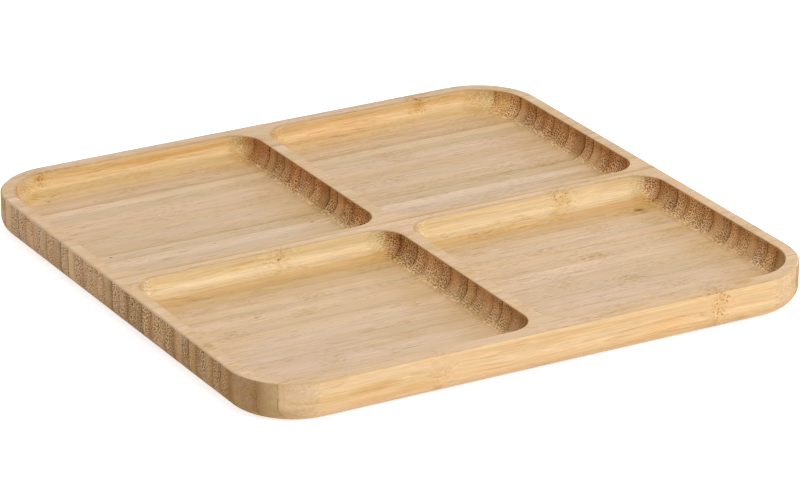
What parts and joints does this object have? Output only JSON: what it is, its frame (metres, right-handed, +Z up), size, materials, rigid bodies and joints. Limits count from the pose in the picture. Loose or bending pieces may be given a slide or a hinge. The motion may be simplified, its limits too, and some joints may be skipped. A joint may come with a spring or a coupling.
{
  "type": "divided serving plate",
  "caption": "Square glued bamboo plate with rounded corners, a rounded underside edge and four square coved compartments milled into its top.",
  "frame": {"origin": "centre of the flat underside", "axes": "+Z up out of the open compartments, X along the staves and their grain, -Y the front"},
  "size_m": [0.25, 0.25, 0.017],
  "materials": {
    "bamboo": "satin"
  },
  "bodies": {
    "root": {"front_rim_stave": "bamboo", "front_bay_stave_01": "bamboo", "front_bay_stave_02": "bamboo", "front_bay_stave_03": "bamboo", "front_bay_stave_04": "bamboo", "front_bay_stave_05": "bamboo", "front_bay_stave_06": "bamboo", "front_bay_stave_07": "bamboo", "front_bay_stave_08": "bamboo", "front_bay_stave_09": "bamboo", "front_bay_stave_10": "bamboo", "front_bay_stave_11": "bamboo", "front_bay_stave_12": "bamboo", "front_bay_stave_13": "bamboo", "front_bay_stave_14": "bamboo", "front_bay_stave_15": "bamboo", "front_bay_stave_16": "bamboo", "front_bay_stave_17": "bamboo", "front_divider_stave": "bamboo", "rear_divider_stave": "bamboo", "rear_bay_stave_01": "bamboo", "rear_bay_stave_02": "bamboo", "rear_bay_stave_03": "bamboo", "rear_bay_stave_04": "bamboo", "rear_bay_stave_05": "bamboo", "rear_bay_stave_06": "bamboo", "rear_bay_stave_07": "bamboo", "rear_bay_stave_08": "bamboo", "rear_bay_stave_09": "bamboo", "rear_bay_stave_10": "bamboo", "rear_bay_stave_11": "bamboo", "rear_bay_stave_12": "bamboo", "rear_bay_stave_13": "bamboo", "rear_bay_stave_14": "bamboo", "rear_bay_stave_15": "bamboo", "rear_bay_stave_16": "bamboo", "rear_bay_stave_17": "bamboo", "rear_rim_stave": "bamboo"}
  },
  "joints": []
}
